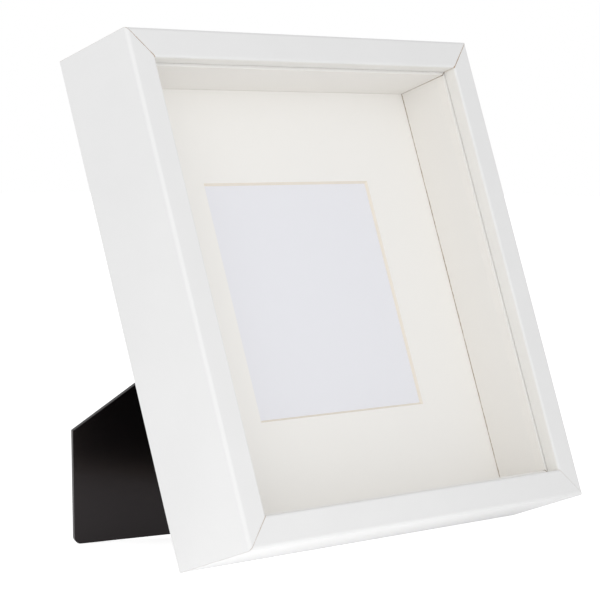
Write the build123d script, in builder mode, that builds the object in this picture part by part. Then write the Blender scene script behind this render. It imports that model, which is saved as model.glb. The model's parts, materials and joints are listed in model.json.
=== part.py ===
"""Square shadow box for small collectibles, leaning back on a fold-out easel strut.

Millimetres, +Z up. The frame leans back about its bottom back edge, which rests on the table.
Every piece of the frame is drawn from one leaning plane, FRONT: its origin is the centre of the
front face, its X runs to the right, its Y up the frame, and its Z out of the front. A depth is a
distance behind that face.
The origin is the middle of the whole object's footprint, on the table.
"""

import os
from math import cos, hypot, radians, sin, tan

from build123d import *

# Moulding: four mitred rails of one L-shaped section
frame_size = 220.0  # outer width and height
frame_depth = 42.8
face_width = 13.0  # width of the front face of a rail
lip_depth = 6.5  # thickness of the lip in front of the pane
wall_width = 8.5  # wall beside the rebate, so the rebate takes a 203 mm square
outer_round = 1.6  # outer front edge
sight_round = 1.2  # inner front edge, round the window
back_round = 0.5  # back edges
mitre_gap = 0.05  # each mitred end stands this far back from the joint

# Pack inside the rebate, from front to back
pack_gap = 0.3  # play between the pack and the rebate wall
pane_thickness = 0.5  # clear acrylic sheet
pane_play = 0.05  # between the pane and the spacers
spacer_inset = 1.4  # how far the spacers show inside the sight edge
spacer_depth = 26.9
mount_thickness = 1.0
aperture = 106.6  # square window of the mount, at its front face
aperture_right = 1.8  # the mount is cut slightly off centre
aperture_down = 0.6
pin_board_thickness = 4.7
back_board_thickness = 3.0

# Easel strut: a kite-shaped board hinged on a diagonal
lean = 18.74  # degrees the frame leans back
strut_open = 34.7  # degrees from the back board at the stop
strut_diagonal = 45.0  # degrees from straight down, towards the left side
hinge_right = -4.0
hinge_up = 2.0
strut_thickness = 2.5
strut_edge = 50.7  # from the tip to a shoulder
strut_half_angle = 45.3  # half the angle at the tip
strut_taper = 12.7  # degrees between a side and the strut's axis
tip_round = 3.0
shoulder_round = 0.8
strut_top = 2.6  # the board starts this far below the hinge pin
board_edge_chamfer = 0.1

# Strut hinge, folded from sheet
sheet = 0.7
barrel_radius = 1.8
pin_radius = 1.0
pin_play = 0.05
leaf_width = 16.0
leaf_length = 14.0
knuckle_width = 8.4  # middle knuckle, on the strut's leaf
knuckle_gap = 0.2
knuckle_clearance = 0.4
stop_gap = 0.1  # between the stop tongue and the fixed leaf when open
pin_head_radius = 1.4
pin_head = 0.5
leaf_corner = 1.5

# Rivets
rivet_radius = 1.5
rivet_head_radius = 2.7
rivet_head = 0.9
rivet_head_round = 0.6
rivet_play = 0.05
rivet_spacing = 9.0
rivet_row = 9.0  # from the hinge pin to the rivets

# Turn buttons and their screws
button_inset = 5.2  # from the outer face of the rail to the screw
button_length = 16.0  # from the screw to the tip
button_width = 7.0
button_thickness = 0.8
button_gap = 0.05
button_play = 0.08  # round the screw
dimple_radius = 1.5
dimple_height = 0.5
dimple_taper = 35.0  # degrees
dimple_inset = 4.0  # from the tip
screw_radius = 1.25
screw_hole_play = 0.02
screw_length = 9.0
screw_head_radius = 2.5
screw_head = 1.1
screw_head_round = 0.6
recess_length = 2.8
recess_width = 0.6
recess_depth = 0.6

# Corner fasteners, driven across each mitre from behind
nail_wing = 5.5
nail_thickness = 0.5
nail_height = 10.0
nail_inset = 3.0
nail_sink = 0.05

# Hanger on the back board
hanger_up = 68.0  # height of the ring's pivot above the centre
hanger_width = 9.0
strap_length = 15.0
strap_barrel = 1.6
wire_radius = 0.8
wire_play = 0.08
ring_width = 18.0
ring_top_width = 7.0
ring_height = 14.0
ring_bend = 2.0
hanger_rivet_row = 9.5

# Places worked out from the sizes above
half = frame_size / 2
sight_half = half - face_width
rebate_half = half - wall_width
pack_half = rebate_half - pack_gap
spacer_half = sight_half - spacer_inset
spacer_front = lip_depth + pane_thickness + pane_play
mount_depth = spacer_front + spacer_depth
pin_board_depth = mount_depth + mount_thickness
back_board_depth = pin_board_depth + pin_board_thickness
back_board_back = back_board_depth + back_board_thickness
hinge_depth = back_board_back + barrel_radius
strut_outer = barrel_radius - sheet
strut_inner = strut_outer - strut_thickness

SIDES = {"bottom": 0, "right": 90, "top": 180, "left": 270}
UP = Vector(0, 0, 1)
BACK = Vector(0, 1, 0)


def turned(plane, x=0.0, z=0.0):
    """The plane turned in degrees about its own X or Z axis."""
    return Plane(plane.location * Rot(X=x, Z=z))


def leaning_plane(centre):
    """The plane of the front face, with its origin at the given point."""
    normal = (0, -cos(radians(lean)), sin(radians(lean)))
    return Plane(origin=centre, x_dir=(1, 0, 0), z_dir=normal)


def hinge_plane(front):
    """Plane through the hinge pin: X along the pin, Y up the diagonal, Z out of the back."""
    pin_direction = -turned(front, z=-strut_diagonal).x_dir
    centre = front.from_local_coords((hinge_right, hinge_up, -hinge_depth))
    return Plane(origin=centre, x_dir=pin_direction, z_dir=-front.z_dir)


def tip_reach(strut, direction, tip_distance):
    """How far the strut's rounded tip reaches from the pin along a direction."""
    along = -strut.y_dir.dot(direction)
    across = strut.x_dir.dot(direction)
    outward = strut.z_dir.dot(direction)
    face = max(strut_outer * outward, strut_inner * outward)
    return tip_distance * along + tip_round * hypot(along, across) + face


# The frame is first stood at the world's origin to find its lowest, foremost and rearmost points.
loose_front = leaning_plane((0, 0, 0))
loose_hinge = hinge_plane(loose_front)
loose_strut = turned(loose_hinge, x=-strut_open)
heel = loose_front.from_local_coords((0, back_round - half, back_round - frame_depth))
lowest = heel.Z - back_round
toe = loose_front.from_local_coords((0, outer_round - half, -outer_round))
foremost = toe.Y - outer_round

# The strut is as long as it takes for its tip to reach the table.
pin_height = loose_hinge.origin.Z - lowest
tip_drop = tip_reach(loose_strut, -UP, 0)
tip_centre = (pin_height - tip_drop) / loose_strut.y_dir.dot(UP)
strut_length = tip_centre + tip_round / sin(radians(strut_half_angle))
rearmost = loose_hinge.origin.Y + tip_reach(loose_strut, BACK, tip_centre)

FRONT = leaning_plane((0, -(foremost + rearmost) / 2, -lowest))
HINGE = hinge_plane(FRONT)
STRUT = turned(HINGE, x=-strut_open)


def depth_plane(depth):
    """Plane parallel to the front face, at a depth behind it."""
    return FRONT.offset(-depth)


def mitred_corners(outer, inner, gap=0.0):
    """Corners of a bar along the bottom side, with its ends cut at 45 degrees."""
    return [(gap - outer, -outer), (outer - gap, -outer), (inner - gap, -inner), (gap - inner, -inner)]


def long_edge(bar, plane, height, depth):
    """The edge of a bar that runs along its plane's X at a height and depth."""
    place = plane.from_local_coords((0, height, -depth))
    return bar.edges().filter_by(Axis(plane.origin, plane.x_dir)).sort_by_distance(place)[0]


def button_plane(turn):
    """Plane on the back of a rail at its middle: Y towards the centre, Z out of the back."""
    side = turned(FRONT, z=turn)
    place = side.from_local_coords((0, button_inset - half, -frame_depth))
    return Plane(origin=place, x_dir=-side.x_dir, z_dir=-side.z_dir)


def save(part, name):
    """Labels a finished piece and writes it under its name."""
    part.label = name
    export_step(part, f"parts/{name}.step")


def make_rail(turn):
    """One mitred rail, with a lip in front of the rebate and a screw hole in its back."""
    side = turned(FRONT, z=turn)
    with BuildPart() as rail:
        with BuildSketch(side):
            Polygon(*mitred_corners(half, sight_half, mitre_gap), align=None)
        extrude(amount=-frame_depth)
        with BuildSketch(side.offset(-lip_depth)):
            Polygon(*mitred_corners(rebate_half, spacer_half), align=None)
        extrude(amount=lip_depth - frame_depth, mode=Mode.SUBTRACT)
        fillet(long_edge(rail, side, -half, 0), outer_round)
        fillet(long_edge(rail, side, -sight_half, 0), sight_round)
        fillet(long_edge(rail, side, -half, frame_depth), back_round)
        fillet(long_edge(rail, side, -rebate_half, frame_depth), back_round)
        with Locations(button_plane(turn)):
            Hole(screw_radius + screw_hole_play, screw_length)
    return rail.part


def make_spacer(turn):
    """One strip of the spacer ring that holds the mount away from the pane."""
    side = turned(FRONT, z=turn)
    with BuildPart() as strip:
        with BuildSketch(side.offset(-spacer_front)):
            Polygon(*mitred_corners(pack_half, spacer_half, mitre_gap), align=None)
        extrude(amount=-spacer_depth)
    return strip.part


def make_turn_button(turn):
    """A flat swivelling catch with a round hole at one end and a finger dimple at the other."""
    plane = button_plane(turn).offset(button_gap)
    radius = button_width / 2
    with BuildPart() as button:
        with BuildSketch(plane):
            Circle(radius)
            with Locations((0, button_length - radius)):
                Circle(radius)
            with Locations((0, (button_length - radius) / 2)):
                Rectangle(button_width, button_length - radius)
            Circle(screw_radius + button_play, mode=Mode.SUBTRACT)
        extrude(amount=button_thickness)
        with BuildSketch(plane.offset(button_thickness)):
            with Locations((0, button_length - dimple_inset)):
                Circle(dimple_radius)
        extrude(amount=dimple_height, taper=dimple_taper)
    return button.part


os.makedirs("parts", exist_ok=True)

for side_name, side_turn in SIDES.items():
    save(make_rail(side_turn), f"{side_name}_rail")
    save(make_spacer(side_turn), f"{side_name}_spacer")
    save(make_turn_button(side_turn), f"{side_name}_turn_button")

# Clear pane behind the lip
with BuildPart() as clear_pane:
    with BuildSketch(depth_plane(lip_depth)):
        Rectangle(2 * pack_half, 2 * pack_half)
    extrude(amount=-pane_thickness)
save(clear_pane.part, "clear_pane")

# Mount board: a thin card with a bevel-cut window, wider at the front
with BuildPart() as mount_board:
    with BuildSketch(depth_plane(mount_depth)):
        Rectangle(2 * pack_half, 2 * pack_half)
    extrude(amount=-mount_thickness)
    with BuildSketch(depth_plane(mount_depth)):
        with Locations((aperture_right, -aperture_down)):
            Rectangle(aperture, aperture)
    with BuildSketch(depth_plane(pin_board_depth)):
        with Locations((aperture_right, -aperture_down)):
            Rectangle(aperture - 2 * mount_thickness, aperture - 2 * mount_thickness)
    loft(mode=Mode.SUBTRACT)
save(mount_board.part, "mount_board")

# White foam board that the collectible is fixed to
with BuildPart() as pin_board:
    with BuildSketch(depth_plane(pin_board_depth)):
        Rectangle(2 * pack_half, 2 * pack_half)
    extrude(amount=-pin_board_thickness)
save(pin_board.part, "pin_board")

# Back board, drilled for the rivets of the strut hinge and of the hanger
rivet_line = HINGE.offset(-barrel_radius)
hanger_foot = FRONT.from_local_coords((0, hanger_up, -back_board_back))
HANGER = Plane(origin=hanger_foot, x_dir=-FRONT.x_dir, z_dir=-FRONT.z_dir)
with BuildPart() as back_board:
    with BuildSketch(depth_plane(back_board_depth)):
        Rectangle(2 * pack_half, 2 * pack_half)
    extrude(amount=-back_board_thickness)
    with BuildSketch(rivet_line):
        with Locations((0, rivet_row)):
            with GridLocations(rivet_spacing, 0, 2, 1):
                Circle(rivet_radius + rivet_play)
    with BuildSketch(HANGER):
        with Locations((0, -hanger_rivet_row)):
            Circle(rivet_radius + rivet_play)
    extrude(amount=-back_board_thickness, mode=Mode.SUBTRACT)
save(back_board.part, "back_board")

# Bent steel fasteners that hold the four mitres together
with BuildPart() as corner_nails:
    for nail_turn in SIDES.values():
        corner = turned(FRONT, z=nail_turn).offset(nail_sink - frame_depth)
        with BuildSketch(corner):
            with Locations((nail_inset - half, nail_inset - half)):
                Rectangle(nail_wing, nail_thickness, align=Align.MIN)
                Rectangle(nail_thickness, nail_wing, align=Align.MIN)
        extrude(amount=nail_height)
save(corner_nails.part, "corner_nails")

# Screws of the turn buttons
with BuildPart() as turn_button_screws:
    for screw_turn in SIDES.values():
        seat = button_plane(screw_turn).offset(2 * button_gap + button_thickness)
        with BuildSketch(seat):
            Circle(screw_radius)
        extrude(amount=-(screw_length + button_thickness))
        with BuildSketch(seat):
            Circle(screw_head_radius)
        extrude(amount=screw_head)
        crown = seat.origin + seat.z_dir * screw_head
        crown_face = turn_button_screws.faces().filter_by(seat).sort_by_distance(crown)[0]
        fillet(crown_face.edges(), screw_head_round)
        with BuildSketch(seat.offset(screw_head)):
            Rectangle(recess_length, recess_width)
            Rectangle(recess_width, recess_length)
        extrude(amount=-recess_depth, mode=Mode.SUBTRACT)
save(turn_button_screws.part, "turn_button_screws")

# Strut board: an arrowhead whose tip edges face the table, narrowing towards the hinge
edge_along = strut_edge * cos(radians(strut_half_angle))
edge_across = strut_edge * sin(radians(strut_half_angle))
shoulder_y = edge_along - strut_length
neck = edge_across - (-strut_top - shoulder_y) * tan(radians(strut_taper))
with BuildPart() as strut_board:
    with BuildSketch(STRUT.offset(strut_inner)) as outline:
        Polygon(
            (-neck, -strut_top),
            (-edge_across, shoulder_y),
            (0, -strut_length),
            (edge_across, shoulder_y),
            (neck, -strut_top),
            align=None,
        )
        corners = outline.vertices().sort_by(Axis.Y)
        fillet(corners[0], tip_round)
        fillet(corners[1:], shoulder_round)
        with Locations((0, -rivet_row)):
            with GridLocations(rivet_spacing, 0, 2, 1):
                Circle(rivet_radius + rivet_play, mode=Mode.SUBTRACT)
    extrude(amount=strut_thickness)
    broad_faces = strut_board.faces().sort_by(SortBy.AREA)[-2:]
    rims = [edge for face in broad_faces for edge in face.outer_wire().edges()]
    chamfer(rims, board_edge_chamfer)
save(strut_board.part, "strut_board")

# Fixed leaf: two outer knuckles and a plate up the back board, notched round the middle knuckle
pin_end = Plane(origin=HINGE.origin, x_dir=HINGE.y_dir, z_dir=HINGE.x_dir)
with BuildPart() as hinge_fixed_leaf:
    with BuildSketch(HINGE.offset(-barrel_radius)) as plate:
        with Locations((0, leaf_length / 2)):
            Rectangle(leaf_width, leaf_length)
        fillet(plate.vertices().group_by(Axis.Y)[-1], leaf_corner)
        with Locations((0, rivet_row)):
            with GridLocations(rivet_spacing, 0, 2, 1):
                Circle(rivet_radius + rivet_play, mode=Mode.SUBTRACT)
    extrude(amount=sheet)
    with BuildSketch(pin_end):
        Circle(barrel_radius)
    extrude(amount=leaf_width / 2, both=True)
    with BuildSketch(HINGE):
        notch = 2 * (barrel_radius + knuckle_clearance)
        Rectangle(knuckle_width + 2 * knuckle_gap, notch)
    extrude(amount=notch, both=True, mode=Mode.SUBTRACT)
    with BuildSketch(pin_end):
        Circle(pin_radius + pin_play)
    extrude(amount=leaf_width, both=True, mode=Mode.SUBTRACT)
save(hinge_fixed_leaf.part, "hinge_fixed_leaf")

# Strut's leaf: one middle knuckle, a plate down the strut, and a tongue that stops on the fixed leaf
opening = radians(strut_open)
tongue = (strut_outer * cos(opening) + strut_outer - stop_gap) / sin(opening)
plate_start = barrel_radius + knuckle_clearance
with BuildPart() as hinge_strut_leaf:
    with BuildSketch(STRUT.offset(strut_outer)) as plate:
        with Locations((0, -plate_start)):
            Rectangle(leaf_width, leaf_length - plate_start, align=(Align.CENTER, Align.MAX))
        fillet(plate.vertices().group_by(Axis.Y)[0], leaf_corner)
        with Locations((0, tongue)):
            Rectangle(knuckle_width, tongue + plate_start, align=(Align.CENTER, Align.MAX))
        with Locations((0, -rivet_row)):
            with GridLocations(rivet_spacing, 0, 2, 1):
                Circle(rivet_radius + rivet_play, mode=Mode.SUBTRACT)
    extrude(amount=sheet)
    with BuildSketch(pin_end):
        Circle(barrel_radius)
        Circle(pin_radius + pin_play, mode=Mode.SUBTRACT)
    extrude(amount=knuckle_width / 2, both=True)
save(hinge_strut_leaf.part, "hinge_strut_leaf")

# Hinge pin with a peened head at each end
with BuildPart() as hinge_pin:
    with BuildSketch(pin_end):
        Circle(pin_radius)
    extrude(amount=leaf_width / 2 + pin_head, both=True)
    for pin_side in (1, -1):
        with BuildSketch(pin_end.offset(pin_side * (leaf_width / 2 + pin_play))):
            Circle(pin_head_radius)
        extrude(amount=pin_side * pin_head)
save(hinge_pin.part, "hinge_pin")


def make_rivets(seat, row, count, length):
    """Domed rivets in a line, with their heads on the outside of a plate and flush tails."""
    with BuildPart() as rivets:
        with BuildSketch(seat):
            with Locations((0, row)):
                with GridLocations(rivet_spacing, 0, count, 1):
                    Circle(rivet_radius)
        extrude(amount=-length)
        with BuildSketch(seat):
            with Locations((0, row)):
                with GridLocations(rivet_spacing, 0, count, 1):
                    Circle(rivet_head_radius)
        extrude(amount=rivet_head)
        tops = rivets.faces().filter_by(seat).group_by(Axis(seat.origin, seat.z_dir))[-1]
        fillet(tops.edges(), rivet_head_round)
    return rivets.part


fixed_seat = HINGE.offset(-strut_outer)
strut_seat = STRUT.offset(barrel_radius)
hanger_seat = HANGER.offset(sheet)
save(make_rivets(fixed_seat, rivet_row, 2, sheet + back_board_thickness), "hinge_board_rivets")
save(make_rivets(strut_seat, -rivet_row, 2, sheet + strut_thickness), "hinge_strut_rivets")
save(make_rivets(hanger_seat, -hanger_rivet_row, 1, sheet + back_board_thickness), "hanger_rivet")

# Hanger strap: a plate with a barrel that holds the straight side of the ring
wire_axis = HANGER.offset(strap_barrel)
wire_end = Plane(origin=wire_axis.origin, x_dir=wire_axis.y_dir, z_dir=wire_axis.x_dir)
with BuildPart() as hanger_strap:
    with BuildSketch(HANGER) as plate:
        Rectangle(hanger_width, strap_length, align=(Align.CENTER, Align.MAX))
        fillet(plate.vertices().group_by(Axis.Y)[0], leaf_corner)
        with Locations((0, -hanger_rivet_row)):
            Circle(rivet_radius + rivet_play, mode=Mode.SUBTRACT)
    extrude(amount=sheet)
    with BuildSketch(wire_end):
        Circle(strap_barrel)
    extrude(amount=hanger_width / 2, both=True)
    with BuildSketch(wire_end):
        Circle(wire_radius + wire_play)
    extrude(amount=hanger_width, both=True, mode=Mode.SUBTRACT)
save(hanger_strap.part, "hanger_strap")

# Hanger ring: a rounded triangle of wire, hanging straight down from the strap's barrel
RING = turned(wire_axis, x=-lean)
with BuildPart() as hanger_ring:
    with BuildLine(RING) as wire_path:
        FilletPolyline(
            (-ring_top_width / 2, -ring_height),
            (-ring_width / 2, 0),
            (ring_width / 2, 0),
            (ring_top_width / 2, -ring_height),
            radius=ring_bend,
            close=True,
        )
    with BuildSketch(Plane(origin=wire_path.wire() @ 0, z_dir=wire_path.wire() % 0)):
        Circle(wire_radius)
    sweep()
save(hanger_ring.part, "hanger_ring")
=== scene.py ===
"""Looks of the shadow box: materials for every piece of the CAD frame, a white studio and the camera.

Metres, +Z up, in the row frame. The frame leans back, so most materials work in its own axes:
X to the right, Y up the frame and Z out of the front, measured from the centre of the front face.
"""

import json
import math

import bpy
from mathutils import Matrix, Vector


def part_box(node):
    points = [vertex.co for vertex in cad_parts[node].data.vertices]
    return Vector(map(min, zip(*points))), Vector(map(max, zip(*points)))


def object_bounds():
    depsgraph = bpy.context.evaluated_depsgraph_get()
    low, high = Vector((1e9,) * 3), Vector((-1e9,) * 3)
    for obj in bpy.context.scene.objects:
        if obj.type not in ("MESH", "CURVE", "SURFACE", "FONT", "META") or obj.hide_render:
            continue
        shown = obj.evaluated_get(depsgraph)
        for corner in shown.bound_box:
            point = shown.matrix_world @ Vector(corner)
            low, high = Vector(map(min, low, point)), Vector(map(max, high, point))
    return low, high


MM = 0.001

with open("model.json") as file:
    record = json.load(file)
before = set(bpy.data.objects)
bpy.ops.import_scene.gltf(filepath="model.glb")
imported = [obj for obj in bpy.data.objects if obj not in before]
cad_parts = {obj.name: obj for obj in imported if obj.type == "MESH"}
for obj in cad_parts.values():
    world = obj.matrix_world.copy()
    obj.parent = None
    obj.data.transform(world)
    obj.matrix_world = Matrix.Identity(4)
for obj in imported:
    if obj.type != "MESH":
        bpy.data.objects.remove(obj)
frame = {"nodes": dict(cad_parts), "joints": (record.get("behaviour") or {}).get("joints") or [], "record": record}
cad_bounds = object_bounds()
nodes = frame["nodes"]
joints = {joint["name"]: joint for joint in frame["joints"]}

# The frame's own axes, and the centre of its front face
NORMAL = Vector(joints["top_button_turn"]["axis"]).normalized()
RIGHT = Vector((1, 0, 0))
UP = NORMAL.cross(RIGHT)
AXES = Matrix((RIGHT, UP, NORMAL))


def middle(node):
    """The middle of a CAD node's box."""
    low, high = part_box(node)
    return (low + high) / 2


def reach(node, direction):
    """How far a CAD node reaches along a direction."""
    return max(vertex.co.dot(direction) for vertex in nodes[node].data.vertices)


pane_centre = middle("clear_pane")
FRONT = pane_centre + NORMAL * (reach("top_rail", NORMAL) - pane_centre.dot(NORMAL))

# Places in those axes
HALF = reach("right_rail", RIGHT)
SIGHT = -reach("top_rail", -UP) - FRONT.dot(UP)
SPACER_FRONT = reach("top_spacer", NORMAL) - FRONT.dot(NORMAL)
SPACER_BACK = -reach("top_spacer", -NORMAL) - FRONT.dot(NORMAL)

# Camera
VIEW_AZIMUTH = -47.28
VIEW_ELEVATION = 3.52
VIEW_DISTANCE = 1.0952
AIM_OFFSET = Vector((-20.42, 21.08, -11.43)) * MM  # from the centre of the front face
LENS = 151.66
SENSOR = 36.0

# Studio
AIR_LIGHT = 0.70  # brightness of the surroundings
FLOOR_ALBEDO = 0.8
FLOOR_GLOW = 0.27  # brightness that the floor has of its own
FLOOR_SEEN = 0.4  # added where the camera sees the floor, so that it reads as white
FLOOR_SIZE = 12.0
POOL_GLOW = 0.38  # brighter pool of light on the floor, in front of the left corner
POOL_CENTRE = Vector((-0.16, -0.20, 0))
POOL_RADIUS = 0.25
KEY_AZIMUTH = -48.0
KEY_ELEVATION = 18.0
KEY_DISTANCE = 1.7
KEY_SIZE = 1.3
KEY_POWER = 7.6

SHEET_INDEX = 1.49  # clear acrylic

# Bare board where the foil ends, on the back of the rails and along their mitres
FOIL_TURNED_IN = (3.3 * MM, 2.9 * MM)  # from the outer face in over the back, a ragged edge
JOINT_LINE = (0.23 * MM, 0.42 * MM)  # half the width of the line of board
JOINT_AT_SIGHT = 1.35  # times that at the sight edge, falling to the next at the outer edge
JOINT_AT_OUTSIDE = 0.8
JOINT_CHIP = 0.8 * MM  # half the width at the corner of the sight edge
TIGHT_LEFT = 0.4  # share of the board that a bottom mitre hides, at the left and at the right
TIGHT_RIGHT = 0.78
JOINT_ON_SIDES = 0.25  # share that shows on the side faces

# Bare board of the spacers
BACK_LINE = (0.26 * MM, 0.48 * MM)  # width along the back edge
BACK_LINE_SEEN = (0.3, 1.0)  # share that shows: on most strips, and on the right one
SEAM_LINE = (0.15 * MM, 0.30 * MM)  # half the width along the mitres
SEAM_SEEN = (0.45, 1.0)  # share that shows: at the back, and at the front


# ---------------------------------------------------------------- node helpers


def new_tree(name):
    """An empty material with its output node; returns the material and its node tree."""
    material = bpy.data.materials.new(name)
    material.use_nodes = True
    material.node_tree.nodes.clear()
    return material, material.node_tree


def add(tree, kind, values=None, **settings):
    """Adds a node. values maps inputs, by name or number, to a constant or to another socket."""
    node = tree.nodes.new("ShaderNode" + kind)
    for key, value in settings.items():
        setattr(node, key, value)
    for key, value in (values or {}).items():
        if isinstance(value, bpy.types.NodeSocket):
            tree.links.new(value, node.inputs[key])
        else:
            node.inputs[key].default_value = value
    return node


def maths(tree, operation, first, second=0.0):
    """A sum on one or two values."""
    return add(tree, "Math", {0: first, 1: second}, operation=operation).outputs[0]


def ramp(tree, value, low, high, start=0.0, end=1.0):
    """Goes smoothly from start to end while value goes from low to high."""
    limits = {"Value": value, "From Min": low, "From Max": high, "To Min": start, "To Max": end}
    return add(tree, "MapRange", limits, interpolation_type="SMOOTHSTEP").outputs["Result"]


def blend(tree, share, first, second):
    """Two colours mixed by share, from 0 for the first to 1 for the second."""
    mix = add(tree, "Mix", data_type="RGBA", clamp_factor=True)
    for socket, value in ((mix.inputs[0], share), (mix.inputs[6], first), (mix.inputs[7], second)):
        if isinstance(value, bpy.types.NodeSocket):
            tree.links.new(value, socket)
        else:
            socket.default_value = value
    return mix.outputs[2]


def absolute(tree, value):
    """A value without its sign."""
    return maths(tree, "ABSOLUTE", value)


def grey(level, warmth=0.0):
    """A nearly grey colour; warmth takes blue out of it and puts red in."""
    return (level * (1 + warmth), level, level * (1 - 2 * warmth), 1)


def place(tree):
    """Position on the piece, in the row frame at rest."""
    return add(tree, "TexCoord").outputs["Object"]


def frame_place(tree):
    """Position in the frame's own axes, from the centre of the front face."""
    shift = -(AXES @ FRONT)
    turn = AXES.to_euler()
    return add(tree, "Mapping", {"Vector": place(tree), "Location": shift, "Rotation": turn}).outputs[0]


def frame_normal(tree):
    """Surface direction in the frame's own axes."""
    turned = {"Vector": add(tree, "TexCoord").outputs["Normal"], "Rotation": AXES.to_euler()}
    return add(tree, "Mapping", turned, vector_type="NORMAL").outputs[0]


def split(tree, vector):
    """The three parts of a vector."""
    return add(tree, "SeparateXYZ", {0: vector}).outputs


def noise(tree, where, size, detail=2.0, roughness=0.5, stretch=(1, 1, 1)):
    """Noise from 0 to 1 with blotches of a given size in metres."""
    scaled = add(tree, "Mapping", {"Vector": where, "Scale": stretch}, vector_type="POINT").outputs[0]
    values = {"Vector": scaled, "Scale": 1 / size, "Detail": detail, "Roughness": roughness}
    return add(tree, "TexNoise", values).outputs["Fac"]


def off_mitre(tree, x, y):
    """How far a place is from the mitres' diagonals."""
    return maths(tree, "SUBTRACT", absolute(tree, x), absolute(tree, y))


def off_middle(tree, x, y):
    """How far a place is from the middle of the front face, along the nearer axis of the square."""
    return maths(tree, "MAXIMUM", absolute(tree, x), absolute(tree, y))


def bump(tree, height, depth, strength=1.0):
    """A bumped normal from a height of 0 to 1 that stands for a depth in metres."""
    return add(tree, "Bump", {"Height": height, "Distance": depth, "Strength": strength}).outputs[0]


def finish_surface(material, tree, colour, roughness, normal, **fixed):
    """Closes a material with a Principled shader; fixed values go straight on its sockets."""
    values = {"Base Color": colour, "Roughness": roughness, "Normal": normal}
    values.update({key.replace("_", " "): value for key, value in fixed.items()})
    shader = add(tree, "BsdfPrincipled", values)
    add(tree, "OutputMaterial", {"Surface": shader.outputs[0]})
    return material


# ---------------------------------------------------------------- materials


def bare_back(tree, where, out, facing):
    """1 on the back of the rails inside the foil's ragged edge, 0 elsewhere."""
    ragged = noise(tree, where, 1.5 * MM, detail=4, roughness=0.7)
    foil_edge = ramp(tree, ragged, 0.3, 0.7, HALF - FOIL_TURNED_IN[0], HALF - FOIL_TURNED_IN[1])
    inside = maths(tree, "LESS_THAN", out, foil_edge)
    is_back = maths(tree, "LESS_THAN", facing, -0.5)
    return maths(tree, "MULTIPLY", inside, is_back)


def bare_joint(tree, where, out, facing):
    """How much board shows along the mitres: most at the top, least at the bottom right."""
    x, y = split(tree, where)[:2]
    patchy = noise(tree, where, 9 * MM, detail=2)
    chip = noise(tree, where, 0.6 * MM, detail=3, roughness=0.7)
    uneven = ramp(tree, patchy, 0.35, 0.65, *JOINT_LINE)
    trend = ramp(tree, out, SIGHT, HALF, JOINT_AT_SIGHT, JOINT_AT_OUTSIDE)
    narrow = maths(tree, "MULTIPLY", uneven, trend)
    wide = ramp(tree, out, SIGHT + 0.4 * MM, SIGHT + 1.4 * MM, JOINT_CHIP, 0.0)
    width = maths(tree, "MULTIPLY", maths(tree, "MAXIMUM", narrow, wide), chip)
    away = absolute(tree, off_mitre(tree, x, y))
    line = ramp(tree, maths(tree, "DIVIDE", away, width), 1.0, 1.6, 1.0, 0.0)
    low = maths(tree, "LESS_THAN", y, 0.0)
    hidden = maths(tree, "MULTIPLY", low, ramp(tree, x, -MM, MM, TIGHT_LEFT, TIGHT_RIGHT))
    on_face = ramp(tree, absolute(tree, facing), 0.3, 0.8, JOINT_ON_SIDES, 1.0)
    seen = maths(tree, "MULTIPLY", on_face, maths(tree, "SUBTRACT", 1.0, hidden))
    return maths(tree, "MULTIPLY", line, seen)


def white_foil():
    """White foil on the moulding, with painted warm bounce light on its faces inside the window, and bare
    fibreboard where the foil ends.
    """
    material, tree = new_tree("white_foil")
    where = frame_place(tree)
    x, y = split(tree, where)[:2]
    out = off_middle(tree, x, y)
    facing = split(tree, frame_normal(tree))[2]

    mottle = noise(tree, where, 30 * MM, detail=3)
    outside = blend(tree, mottle, grey(0.79), grey(0.83))
    # Painted light: the foil's faces inside the window get a warmer, slightly lighter copy of the foil, standing
    # in for light bounced off the cards
    painted_bounce_colour = blend(tree, mottle, (0.80, 0.79, 0.76, 1), (0.84, 0.83, 0.80, 1))
    inward = ramp(tree, absolute(tree, facing), 0.25, 0.6, 1.0, 0.0)
    near_sight = maths(tree, "LESS_THAN", out, SIGHT + 2 * MM)
    foil = blend(tree, maths(tree, "MULTIPLY", inward, near_sight), outside, painted_bounce_colour)

    fibre = noise(tree, where, 0.35 * MM, detail=4, roughness=0.65)
    board = blend(tree, fibre, (0.30, 0.20, 0.12, 1), (0.52, 0.38, 0.25, 1))
    back = bare_back(tree, where, out, facing)
    exposed = maths(tree, "MAXIMUM", back, bare_joint(tree, where, out, facing))
    colour = blend(tree, exposed, foil, board)

    peel = noise(tree, where, 0.9 * MM, detail=1)
    smooth = ramp(tree, peel, 0.2, 0.8, 0.58, 0.66)
    roughness = maths(tree, "MAXIMUM", smooth, maths(tree, "MULTIPLY", exposed, 0.85))
    return finish_surface(material, tree, colour, roughness, bump(tree, peel, 0.003 * MM))


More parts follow.
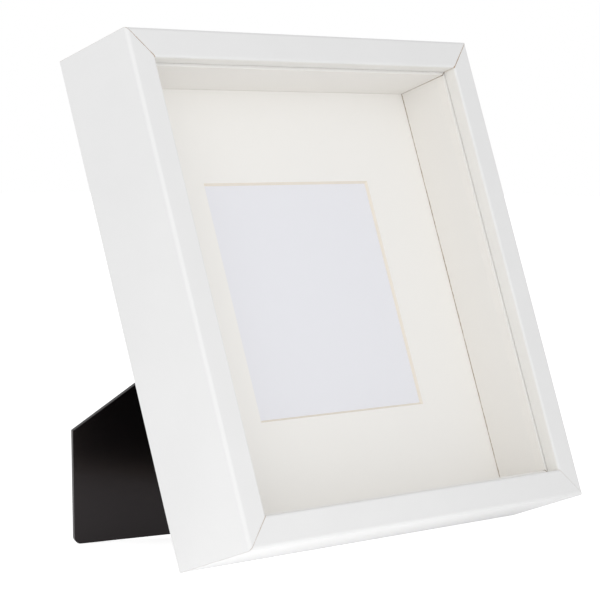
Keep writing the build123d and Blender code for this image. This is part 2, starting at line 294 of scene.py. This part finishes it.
def spacer_card():
    """Matt off-white paper on board strips, with a painted highlight that makes their faces towards the front
    whiter; the brown board shows at their mitres and back edges.
    """
    material, tree = new_tree("spacer_card")
    where = frame_place(tree)
    x, y, z = split(tree, where)
    grain = noise(tree, where, 0.5 * MM, detail=4, roughness=0.7)
    facing = split(tree, frame_normal(tree))[2]
    inside = blend(tree, grain, (0.81, 0.79, 0.755, 1), (0.87, 0.85, 0.815, 1))
    # Painted highlight: the faces towards the front get a whiter copy of the paper, for the bright line along the
    # back of the lip
    paper = blend(tree, maths(tree, "GREATER_THAN", facing, 0.5), inside, (0.95, 0.94, 0.92, 1))
    fibre = noise(tree, where, 0.3 * MM, detail=3)
    board = blend(tree, fibre, (0.19, 0.125, 0.06, 1), (0.36, 0.26, 0.155, 1))
    ragged = noise(tree, where, 2.5 * MM, detail=4, roughness=0.6)
    back_line = ramp(tree, ragged, 0.3, 0.7, SPACER_BACK + BACK_LINE[0], SPACER_BACK + BACK_LINE[1])
    at_back = maths(tree, "LESS_THAN", z, back_line)
    right_strip = maths(tree, "GREATER_THAN", x, absolute(tree, y))
    back_seen = maths(tree, "MULTIPLY", at_back, ramp(tree, right_strip, 0, 1, *BACK_LINE_SEEN))
    seam_width = ramp(tree, ragged, 0.3, 0.7, *SEAM_LINE)
    at_seam = maths(tree, "LESS_THAN", absolute(tree, off_mitre(tree, x, y)), seam_width)
    seam_seen = maths(tree, "MULTIPLY", at_seam, ramp(tree, z, SPACER_BACK, SPACER_FRONT, *SEAM_SEEN))
    colour = blend(tree, maths(tree, "MAXIMUM", back_seen, seam_seen), paper, board)
    return finish_surface(material, tree, colour, 0.85, bump(tree, grain, 0.01 * MM))


def mount_card():
    """Matt ivory card, with a cream core that shows on the bevelled edge of its window."""
    material, tree = new_tree("mount_card")
    where = frame_place(tree)
    facing = split(tree, frame_normal(tree))[2]
    grain = noise(tree, where, 0.4 * MM, detail=5, roughness=0.7)
    face = blend(tree, grain, (0.935, 0.92, 0.89, 1), (0.965, 0.95, 0.92, 1))
    core = blend(tree, grain, (0.80, 0.735, 0.64, 1), (0.88, 0.81, 0.715, 1))
    slope = maths(tree, "LESS_THAN", facing, 0.9)
    colour = blend(tree, slope, face, core)
    return finish_surface(material, tree, colour, 0.9, bump(tree, grain, 0.008 * MM))


def white_board():
    """Cool white paper face of the foam board."""
    material, tree = new_tree("white_board")
    grain = noise(tree, place(tree), 0.3 * MM, detail=4, roughness=0.7)
    colour = blend(tree, grain, (0.855, 0.86, 0.91, 1), (0.895, 0.90, 0.95, 1))
    return finish_surface(material, tree, colour, 0.8, bump(tree, grain, 0.005 * MM))


def black_board():
    """Black-faced hardboard with a fine pebbled grain and a low sheen."""
    material, tree = new_tree("black_board")
    where = place(tree)
    grain = noise(tree, where, 0.35 * MM, detail=4, roughness=0.7)
    colour = blend(tree, grain, (0.0006, 0.0006, 0.0006, 1), (0.0016, 0.0013, 0.0014, 1))
    roughness = ramp(tree, grain, 0.25, 0.75, 0.18, 0.26)
    warm = {"Specular_Tint": (1.0, 0.9, 0.93, 1)}
    return finish_surface(material, tree, colour, roughness, bump(tree, grain, 0.006 * MM), **warm)


def plated_steel():
    """Satin nickel plate on sheet steel."""
    material, tree = new_tree("plated_steel")
    where = place(tree)
    grain = noise(tree, where, 0.25 * MM, detail=3)
    colour = blend(tree, grain, (0.60, 0.59, 0.56, 1), (0.70, 0.69, 0.66, 1))
    roughness = ramp(tree, grain, 0.2, 0.8, 0.25, 0.4)
    return finish_surface(material, tree, colour, roughness, bump(tree, grain, 0.004 * MM), Metallic=1.0)


def clear_sheet():
    """Clear acrylic: it bends and mirrors what is seen through it, and lets the lamps shine in."""
    material, tree = new_tree("clear_sheet")
    ripple = noise(tree, place(tree), 60 * MM, detail=1)
    surface = bump(tree, ripple, 0.005 * MM)
    solid = add(tree, "BsdfGlass", {"Roughness": 0.0, "IOR": SHEET_INDEX, "Normal": surface})
    lit = add(tree, "BsdfTransparent", {"Color": grey(0.98)})
    path = add(tree, "LightPath").outputs
    lamp = maths(tree, "MAXIMUM", path["Is Shadow Ray"], path["Is Diffuse Ray"])
    mix = add(tree, "MixShader", {0: lamp, 1: solid.outputs[0], 2: lit.outputs[0]})
    add(tree, "OutputMaterial", {"Surface": mix.outputs[0]})
    return material


MATERIALS = {
    "white_foil": white_foil(),
    "spacer_card": spacer_card(),
    "mount_card": mount_card(),
    "white_board": white_board(),
    "black_board": black_board(),
    "plated_steel": plated_steel(),
    "clear_sheet": clear_sheet(),
}

for subpart in frame["record"]["subparts"]:
    for material_slot in nodes[subpart["node"]].material_slots:
        material_slot.material = MATERIALS[subpart["material_slot"]]


# ---------------------------------------------------------------- studio


def lit_world():
    """Even light from all round, which the camera sees as white."""
    world = bpy.data.worlds.new("studio_air")
    world.use_nodes = True
    tree = world.node_tree
    tree.nodes.clear()
    air = add(tree, "Background", {"Color": grey(1.0), "Strength": AIR_LIGHT})
    seen = add(tree, "Background", {"Color": grey(1.0), "Strength": 1.0})
    camera_ray = add(tree, "LightPath").outputs["Is Camera Ray"]
    mix = add(tree, "MixShader", {0: camera_ray, 1: air.outputs[0], 2: seen.outputs[0]})
    add(tree, "OutputWorld", {"Surface": mix.outputs[0]})
    bpy.context.scene.world = world


def make_floor():
    """Plain floor that glows, more in one pool and where the camera sees it, so that it reads as white."""
    bpy.ops.mesh.primitive_plane_add(size=FLOOR_SIZE, location=(0, 0, cad_bounds[0].z))
    floor = bpy.context.object
    floor.name = "studio_floor"
    material, tree = new_tree("studio_floor")
    base = add(tree, "BsdfDiffuse", {"Color": grey(FLOOR_ALBEDO)})
    spot = add(tree, "NewGeometry").outputs["Position"]
    away = add(tree, "VectorMath", {0: spot, 1: POOL_CENTRE}, operation="DISTANCE").outputs["Value"]
    falloff = maths(tree, "MULTIPLY", maths(tree, "MULTIPLY", away, away), -1 / POOL_RADIUS**2)
    pool = maths(tree, "MULTIPLY", maths(tree, "EXPONENT", falloff), POOL_GLOW)
    camera_ray = add(tree, "LightPath").outputs["Is Camera Ray"]
    seen = maths(tree, "MULTIPLY", camera_ray, FLOOR_SEEN)
    strength = maths(tree, "ADD", maths(tree, "ADD", pool, seen), FLOOR_GLOW)
    glow = add(tree, "Emission", {"Color": grey(1.0), "Strength": strength})
    both = add(tree, "AddShader", {0: base.outputs[0], 1: glow.outputs[0]})
    add(tree, "OutputMaterial", {"Surface": both.outputs[0]})
    floor.data.materials.append(material)


def looking_back(azimuth, elevation):
    """Direction from the object to a viewer, in degrees: azimuth 0 is in front, 90 to the right."""
    turn = math.radians(azimuth)
    rise = math.radians(elevation)
    level = math.cos(rise)
    return Vector((math.sin(turn) * level, -math.cos(turn) * level, math.sin(rise)))


def make_key_light():
    """One big softbox, in front of the frame and to its left."""
    low, high = cad_bounds
    back = looking_back(KEY_AZIMUTH, KEY_ELEVATION)
    lamp = bpy.data.lights.new("softbox", "AREA")
    lamp.energy = KEY_POWER
    lamp.size = KEY_SIZE
    light = bpy.data.objects.new("softbox", lamp)
    light.location = (low + high) / 2 + back * KEY_DISTANCE
    light.rotation_mode = "QUATERNION"
    light.rotation_quaternion = (-back).to_track_quat("-Z", "Y")
    light.visible_camera = False
    bpy.context.scene.collection.objects.link(light)


def make_camera():
    """Camera in front of the frame and to its left, higher than its middle and lower than its top."""
    aim = FRONT + AIM_OFFSET
    back = looking_back(VIEW_AZIMUTH, VIEW_ELEVATION)
    camera = bpy.data.objects.new("camera", bpy.data.cameras.new("camera"))
    camera.data.lens = LENS
    camera.data.sensor_width = SENSOR
    camera.location = aim + back * VIEW_DISTANCE
    camera.rotation_mode = "QUATERNION"
    camera.rotation_quaternion = (-back).to_track_quat("-Z", "Y")
    bpy.context.scene.collection.objects.link(camera)
    bpy.context.scene.camera = camera


lit_world()
make_floor()
make_key_light()
make_camera()
bpy.context.scene.view_settings.view_transform = "Standard"
